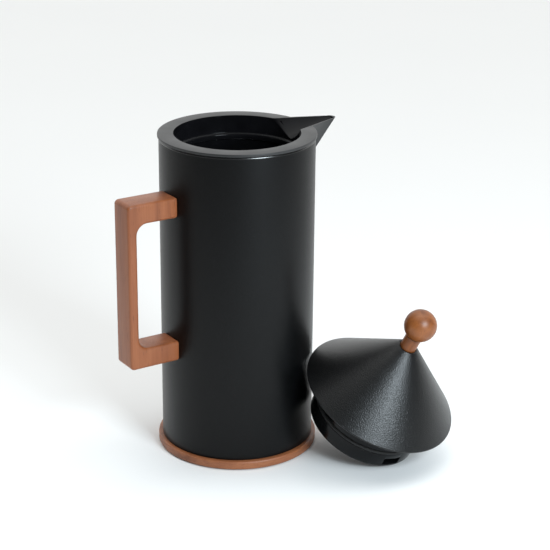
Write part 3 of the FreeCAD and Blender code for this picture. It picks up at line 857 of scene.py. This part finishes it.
    def bottle(self) -> bpy.types.Object:
        """Build the inner glass bottle, silvered, with its lip."""
        low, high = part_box("liner_inner")
        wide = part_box("liner_outer")[1].x
        body = wide - self.glass - self.vacuum
        lip = high.x
        corner = self.bottle_corner
        shoulder = high.z - self.shoulder_drop
        under_lip = high.z - self.glass
        outline = rounded([
            (0.0, low.z, 0.0), (body, low.z, corner), (body, shoulder, self.shoulder_round),
            (self.mouth + self.glass, under_lip, 0.0), (lip, under_lip, self.small_round),
            (lip, high.z, self.lip_round), (self.mouth, high.z, self.mouth_round),
            (self.mouth, high.z - self.mouth_depth, 0.0),
            (body - self.glass, shoulder, self.shoulder_round),
            (body - self.glass, low.z + self.glass, corner - self.glass), (0.0, low.z + self.glass, 0.0),
        ], self.bottle_facets)
        return settle(lathe("glass_bottle", outline), Body.JUG, SILVERED, "liner_inner")

    def build(self) -> None:
        """Build the jug's body."""
        self.shell()
        self.collar()
        self.bottle()


@dataclass
class JugBase:
    """Turned wood ring and the soft pad set into it."""

    bore: float = 28.0 * MM
    edge: float = 1.2 * MM
    recess_gap: float = 0.3 * MM
    pad_inner: float = 33.3 * MM
    bore_low_round: float = 0.5 * MM
    bore_high_round: float = 0.4 * MM
    recess_round: float = 0.3 * MM
    tread_round: float = 0.5 * MM
    seat_round: float = 0.1 * MM

    def ring(self) -> bpy.types.Object:
        """Build the wood ring with its softened edges and the recess underneath."""
        low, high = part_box("base_ring")
        pad_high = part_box("foot_pad")[1]
        outer = self.recess_gap + pad_high.x
        inner = self.pad_inner - self.recess_gap
        outline = rounded([
            (self.bore, low.z, self.bore_low_round), (inner, low.z, self.recess_round),
            (inner, pad_high.z, 0.0), (outer, pad_high.z, 0.0), (outer, low.z, self.recess_round),
            (high.x, low.z, self.edge), (high.x, high.z, self.edge),
            (self.bore, high.z, self.bore_high_round),
        ])
        return settle(lathe("wood_ring", outline, FINE_LATHE_STEPS), Body.JUG, RING_WOOD, "base_ring")

    def pad(self) -> bpy.types.Object:
        """Build the soft foot with a rounded tread."""
        low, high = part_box("foot_pad")
        outline = rounded([
            (self.pad_inner, low.z, self.tread_round), (high.x, low.z, self.tread_round),
            (high.x, high.z, self.seat_round), (self.pad_inner, high.z, self.seat_round),
        ])
        return settle(lathe("soft_foot", outline), Body.JUG, RUBBER, "foot_pad")

    def build(self) -> None:
        """Build the base."""
        self.ring()
        self.pad()


@dataclass
class Handle:
    """C-shaped wooden handle with softened edges."""

    grip: float = 7.0 * MM
    leg: float = 14.6 * MM
    outer_corner: float = 3.2 * MM
    inner_corner: float = 8.0 * MM
    edge: float = 2.0 * MM
    corner_facets: int = 10
    edge_facets: int = 5
    edge_angle: float = 60.0
    bite: float = 0.1 * MM

    def build(self) -> bpy.types.Object:
        """Build the handle up to the shell's skin."""
        low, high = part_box("handle")
        half = high.y
        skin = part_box("outer_shell")[1].y
        end = -math.sqrt(skin ** 2 - half ** 2) + self.bite
        inside = low.x + self.grip
        outline = rounded([
            (low.x, low.z, self.outer_corner), (end, low.z, 0.0), (end, low.z + self.leg, 0.0),
            (inside, low.z + self.leg, self.inner_corner),
            (inside, high.z - self.leg, self.inner_corner), (end, high.z - self.leg, 0.0),
            (end, high.z, 0.0), (low.x, high.z, self.outer_corner),
        ], self.corner_facets)
        piece = prism("wood_handle", outline, 2.0 * half)
        soften(piece, self.edge, self.edge_facets, self.edge_angle)
        return settle(piece, Body.JUG, HANDLE_WOOD, "handle")


# ---------------------------------------------------------------- lid


@dataclass
class Lid:
    """Cone, plug and knob, built upright and laid where the frame has them."""

    plug: float = 41.0 * MM
    plug_wall: float = 2.8 * MM
    plug_floor: float = 1.8 * MM
    groove: tuple[float, float] = (11.6 * MM, 14.8 * MM)
    groove_radius: float = 37.4 * MM
    plug_top: float = 31.0 * MM
    spigot_low: float = 4.0 * MM
    spigot_wall: float = 2.4 * MM
    seal_radius: float = 41.7 * MM
    seal_height: float = 2.6 * MM
    window: tuple[float, float] = (1.8 * MM, 7.6 * MM)
    window_sweep: float = math.radians(20.0)
    window_turn: float = math.radians(-91.1)
    cone_low: float = 31.2 * MM
    cone_radius: float = 56.8 * MM
    cone_edge: float = 1.0 * MM
    cone_top: float = 80.1 * MM
    tip_radius: float = 7.4 * MM
    cone_wall: float = 1.2 * MM
    neck: float = 5.9 * MM
    neck_gap: float = 0.3 * MM
    neck_low: float = 74.0 * MM
    ball: float = 11.6 * MM
    ball_height: float = 100.7 * MM
    ball_facets: int = 64
    cup_facets: int = 8
    stem_bore: float = 3.4 * MM
    stem_bore_depth: float = 9.0 * MM
    stem_edge: float = 0.3 * MM
    snap_gap: float = 0.15 * MM
    small_round: float = 0.3 * MM
    groove_round: float = 0.35 * MM
    cup_round: float = 0.6 * MM
    window_round: float = 0.8 * MM
    seal_gap: float = 0.3 * MM
    seal_lip: float = 1.2 * MM
    cone_edge_round: float = 0.5 * MM
    fine_round: float = 0.2 * MM
    inside_round: float = 1.0 * MM
    plug_edge: float = 0.15 * MM
    plug_edge_facets: int = 2
    cutter_walls: float = 2.2
    seal_facets: int = 6
    stand: Matrix = field(init=False)
    knob_wood: OiledWood = field(init=False)

    def __post_init__(self) -> None:
        """Find the lid's place from the joint that it turns on."""
        turn = next(joint for joint in frame["joints"] if joint["name"] == "lid_turn")
        axis = Vector(turn["axis"])
        tilt = Vector((0.0, 0.0, 1.0)).rotation_difference(axis).to_matrix().to_4x4()
        self.stand = Matrix.Translation(Vector(turn["pos_m"])) @ tilt
        self.knob_wood = replace(KNOB_WOOD, turn=tuple(tilt.to_euler()))

    def lay(self, piece: bpy.types.Object, body: Body, finish: Finish, node: str) -> bpy.types.Object:
        """Move an upright piece to the lid's place and settle it."""
        piece.data.transform(self.stand)
        return settle(piece, body, finish, node)

    def cone(self) -> bpy.types.Object:
        """Build the spun cone with its short upright edge and soft tip."""
        edge_top = self.cone_low + self.cone_edge
        slope = (self.cone_radius - self.tip_radius) / (self.cone_top - edge_top)
        thick = self.cone_wall * math.sqrt(1.0 + slope ** 2)
        hole = self.neck + self.neck_gap
        inner_top = edge_top + (self.cone_radius - thick - hole) / slope
        outline = rounded([
            (self.cone_radius, self.cone_low, self.small_round),
            (self.cone_radius, edge_top, self.cone_edge_round),
            (self.tip_radius, self.cone_top, self.groove_round), (hole, self.cone_top, self.fine_round),
            (hole, inner_top, 0.0), (self.cone_radius - thick, edge_top, self.small_round),
            (self.cone_radius - self.cone_wall, self.cone_low, self.small_round),
        ])
        return self.lay(lathe("cone_cover", outline, FINE_LATHE_STEPS), Body.LID, CONE_POWDER, "lid_cone")

    def plug_upper(self) -> bpy.types.Object:
        """Build the plug's upper cup with the seal groove and spigot."""
        spigot = self.plug - self.plug_wall - self.snap_gap
        inner = spigot - self.spigot_wall
        small = self.small_round
        low, high = self.groove
        outline = rounded([
            (inner, self.spigot_low, small), (spigot, self.spigot_low, small), (spigot, low, 0.0),
            (self.groove_radius, low, 0.0), (self.groove_radius, high, 0.0),
            (self.plug, high, self.groove_round), (self.plug, self.plug_top, small),
            (0.0, self.plug_top, 0.0), (0.0, self.plug_top - self.spigot_wall, 0.0),
            (inner, self.plug_top - self.spigot_wall, self.inside_round),
        ])
        return self.lay(lathe("plug_upper", outline), Body.LID, PLUG_GLOSS, "plug_body")

    def plug_lower(self) -> bpy.types.Object:
        """Build the plug's lower cup and cut the pouring window."""
        inner = self.plug - self.plug_wall
        outline = rounded([
            (0.0, 0.0, 0.0), (self.plug, 0.0, self.cup_round),
            (self.plug, self.groove[0], self.groove_round),
            (inner, self.groove[0], self.fine_round), (inner, self.plug_floor, self.cup_round),
            (0.0, self.plug_floor, 0.0),
        ])
        piece = lathe("plug_lower", outline)
        half = self.plug * math.sin(0.5 * self.window_sweep)
        low, high = self.window
        corners = [(-half, low), (half, low), (half, high), (-half, high)]
        opening = rounded([(x, z, self.window_round) for x, z in corners])
        cutter = prism("window_cutter", opening, self.cutter_walls * self.plug_wall)
        cutter.data.transform(Matrix.Rotation(self.window_turn + math.radians(90.0), 4, "Z")
                              @ Matrix.Translation((0.0, -(inner + 0.5 * self.plug_wall), 0.0)))
        combine(piece, cutter, Join.CUT)
        soften(piece, self.plug_edge, self.plug_edge_facets)
        return self.lay(piece, Body.LID, PLUG_GLOSS, "plug_base")

    def seal(self) -> bpy.types.Object:
        """Build the rubber ring with its rounded lip."""
        middle = 0.5 * sum(self.groove)
        half = 0.5 * self.seal_height
        inner = self.groove_radius + self.seal_gap
        outline = rounded([
            (inner, middle - half, self.fine_round),
            (self.seal_radius, middle - half, self.seal_lip),
            (self.seal_radius, middle + half, self.seal_lip),
            (inner, middle + half, self.fine_round),
        ], self.seal_facets)
        return self.lay(lathe("seal_ring", outline), Body.SEAL, RUBBER, "plug_seal")

    def knob(self) -> None:
        """Build the ball and the stem that cups it."""
        outline = [(0.0, self.ball_height - self.ball)]
        for step in range(1, self.ball_facets):
            turn = math.radians(-90.0 + 180.0 * step / self.ball_facets)
            outline.append((self.ball * math.cos(turn), self.ball_height + self.ball * math.sin(turn)))
        outline.append((0.0, self.ball_height + self.ball))
        ball = lathe("ball_knob", outline, KNOB_LATHE_STEPS)
        self.lay(ball, Body.KNOB, self.knob_wood, "knob_ball")
        reach = self.ball + self.neck_gap
        spread = math.asin(self.neck / reach)
        cup = []
        for step in range(self.cup_facets + 1):
            turn = spread * step / self.cup_facets
            cup.append((reach * math.sin(turn), self.ball_height - reach * math.cos(turn)))
        floor = self.neck_low + self.stem_bore_depth
        outline = [*cup, (self.neck, self.neck_low + self.stem_edge),
                   (self.neck - self.stem_edge, self.neck_low),
                   (self.stem_bore, self.neck_low), (self.stem_bore, floor), (0.0, floor)]
        stem = lathe("knob_stem", outline, KNOB_LATHE_STEPS)
        self.lay(stem, Body.LID, self.knob_wood, "knob_neck")

    def build(self) -> None:
        """Build the lid."""
        self.cone()
        self.plug_upper()
        self.plug_lower()
        self.seal()
        self.knob()


# ---------------------------------------------------------------- studio


@dataclass
class Studio:
    """Pale floor with painted shade towards the camera, soft lights and the camera."""

    floor_half: float = 7.0
    pale: Colour = (0.872, 0.873, 0.868)
    # Floor colour far towards the camera: painted shade.
    shade: Colour = (0.50, 0.50, 0.50)
    shade_from: float = -0.15
    shade_to: float = -1.2
    sky: tuple[tuple[float, float], ...] = ((0.25, 0.15), (0.5, 0.35), (0.78, 1.95), (1.0, 3.4))
    sky_lean: float = math.radians(30.0)
    backdrop: float = 1.12
    backdrop_from: float = 0.1
    backdrop_to: float = 0.6
    air: Colour = (0.985, 1.0, 0.997)
    daylight: Colour = (0.82, 0.93, 1.0)
    key_place: tuple[float, float, float] = (0.49, 0.73, 0.53)
    key_target: tuple[float, float, float] = (0.10, 0.06, 0.06)
    key_size: tuple[float, float] = (0.34, 0.34)
    key_power: float = 9.4
    camera_azimuth: float = math.radians(-31.5)
    camera_away: float = 1.1366
    camera_height: float = 0.5565
    aim: tuple[float, float, float] = (0.0232, -0.0142, 0.1275)
    roll: float = math.radians(0.5)
    lens: float = 110.5

    def spot(self, right: float, towards: float, up: float) -> Vector:
        """Turn a place seen from the camera's side into the jug's frame.

        Args:
            right: Metres to the camera's right.
            towards: Metres from the jug towards the camera.
            up: Height.

        Returns:
            The point in the jug's frame.
        """
        turn = Matrix.Rotation(self.camera_azimuth, 3, "Z")
        return turn @ Vector((right, -towards, up))

    def floor(self) -> None:
        """Lay the floor, pale round the jug, with painted shade darkening its colour towards the camera.
        """
        build = bmesh.new()
        bmesh.ops.create_grid(build, x_segments=1, y_segments=1, size=self.floor_half)
        piece = new_piece("studio_floor", build)
        piece.rotation_euler.z = self.camera_azimuth
        sheet = ShaderSheet("studio_paper")
        sheet.constant(Specular_IOR_Level=0.15)
        where = sheet.place()
        cloud = sheet.noise(where, 3.0, 2.0)
        parts = sheet.tree.nodes.new("ShaderNodeSeparateXYZ")
        sheet.join(where, parts.inputs["Vector"])
        # The floor's colour fades from pale to the shade colour towards the camera: painted shade, not the
        # paper's own colour.
        lit = sheet.spread(parts.outputs["Y"], 0.0, 1.0, self.shade_to, self.shade_from)
        tone = sheet.ramp(lit, [(0.0, self.shade), (1.0, self.pale)])
        grey = sheet.ramp(cloud, [(0.2, (0.985, 0.985, 0.985)), (0.8, WHITE)])
        rough = sheet.spread(cloud, 0.85, 0.95)
        paper = sheet.dress(sheet.multiply(tone, grey), rough, sheet.bump(cloud, 0.0001, 0.05))
        piece.data.materials.append(paper)

    def softbox(self, name: str, place: Vector, target: Vector, size: tuple[float, float],
                power: float) -> None:
        """Hang a rectangular soft light.

        Args:
            name: Light name.
            place: Its centre.
            target: Point that it faces.
            size: Width and height.
            power: Watts.
        """
        light = bpy.data.lights.new(name, "AREA")
        light.shape = "RECTANGLE"
        light.size, light.size_y = size
        light.energy = power
        light.color = self.daylight
        lamp = bpy.data.objects.new(name, light)
        lamp.location = place
        lamp.rotation_euler = (target - place).to_track_quat("-Z", "Y").to_euler()
        bpy.context.scene.collection.objects.link(lamp)

    def facing(self, tree: bpy.types.NodeTree, direction: Vector) -> bpy.types.NodeSocket:
        """Measure how nearly each part of the surroundings lies in a direction.

        Args:
            tree: The world's node tree.
            direction: Unit vector.

        Returns:
            The socket of the cosine.
        """
        coords = tree.nodes.new("ShaderNodeTexCoord")
        product = tree.nodes.new("ShaderNodeVectorMath")
        product.operation = "DOT_PRODUCT"
        product.inputs[1].default_value = direction
        tree.links.new(coords.outputs["Generated"], product.inputs[0])
        return product.outputs["Value"]

    def sky_level(self, tree: bpy.types.NodeTree) -> bpy.types.NodeSocket:
        """Make the glow's level: dim round the horizon and bright overhead.

        Args:
            tree: The world's node tree.

        Returns:
            The level's socket.
        """
        upwards = self.spot(0.0, -math.sin(self.sky_lean), math.cos(self.sky_lean))
        levels = tree.nodes.new("ShaderNodeFloatCurve")
        curve = levels.mapping.curves[0]
        top = max(level for _, level in self.sky)
        curve.points[0].location = (0.0, self.sky[0][1] / top)
        curve.points[1].location = (1.0, self.sky[-1][1] / top)
        for height, level in self.sky[:-1]:
            curve.points.new(height, level / top)
        levels.mapping.update()
        gain = tree.nodes.new("ShaderNodeMath")
        gain.operation = "MULTIPLY"
        gain.inputs[1].default_value = top
        tree.links.new(self.facing(tree, upwards), levels.inputs["Value"])
        tree.links.new(levels.outputs["Value"], gain.inputs[0])
        return gain.outputs["Value"]

    def sky_glow(self) -> None:
        """Make the surrounding glow, with an even backdrop behind the jug."""
        world = bpy.data.worlds.new("studio_air")
        world.use_nodes = True
        tree = world.node_tree
        glow = tree.nodes["Background"]
        share = tree.nodes.new("ShaderNodeMapRange")
        share.interpolation_type = "SMOOTHSTEP"
        share.inputs["From Min"].default_value = self.backdrop_from
        share.inputs["From Max"].default_value = self.backdrop_to
        mix = tree.nodes.new("ShaderNodeMix")
        mix.inputs["B"].default_value = self.backdrop
        tree.links.new(self.facing(tree, self.spot(0.0, -1.0, 0.0)), share.inputs["Value"])
        tree.links.new(share.outputs["Result"], mix.inputs["Factor"])
        tree.links.new(self.sky_level(tree), mix.inputs["A"])
        tree.links.new(mix.outputs["Result"], glow.inputs["Strength"])
        glow.inputs["Color"].default_value = (*self.air, 1.0)
        bpy.context.scene.world = world

    def lights(self) -> None:
        """Hang the soft lights."""
        self.softbox("key", self.spot(*self.key_place), self.spot(*self.key_target), self.key_size,
                     self.key_power)
        self.sky_glow()

    def camera(self) -> None:
        """Set up the camera with its long lens."""
        lens = bpy.data.cameras.new("studio_camera")
        lens.sensor_width = 36.0
        lens.lens = self.lens
        lens.clip_end = 50.0
        camera = bpy.data.objects.new("studio_camera", lens)
        camera.location = self.spot(0.0, self.camera_away, self.camera_height)
        look = (Vector(self.aim) - camera.location).to_track_quat("-Z", "Y").to_matrix()
        camera.rotation_euler = (look @ Matrix.Rotation(self.roll, 3, "Z")).to_euler()
        bpy.context.scene.collection.objects.link(camera)
        bpy.context.scene.camera = camera

    def build(self) -> None:
        """Set the studio up."""
        self.floor()
        self.lights()
        self.camera()
        bpy.context.scene.view_settings.view_transform = "Standard"
        bpy.context.scene.view_settings.look = "None"


def dress_inner_nodes() -> None:
    """Give every CAD node that is still shown its finish."""
    for name, finish in NODE_FINISH.items():
        node = frame["nodes"][name]
        node.data.materials.clear()
        node.data.materials.append(finish.material())
        smooth_by_angle(node.data)
        LOG.info("%s keeps its CAD shape in %s", name, finish.name)


def main() -> None:
    """Build everything in order."""
    logging.basicConfig(level=logging.INFO, format="%(name)s: %(message)s")
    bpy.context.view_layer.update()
    Studio().build()
    JugBody().build()
    JugBase().build()
    Handle().build()
    Lid().build()
    dress_inner_nodes()


if __name__ == "__main__":
    main()
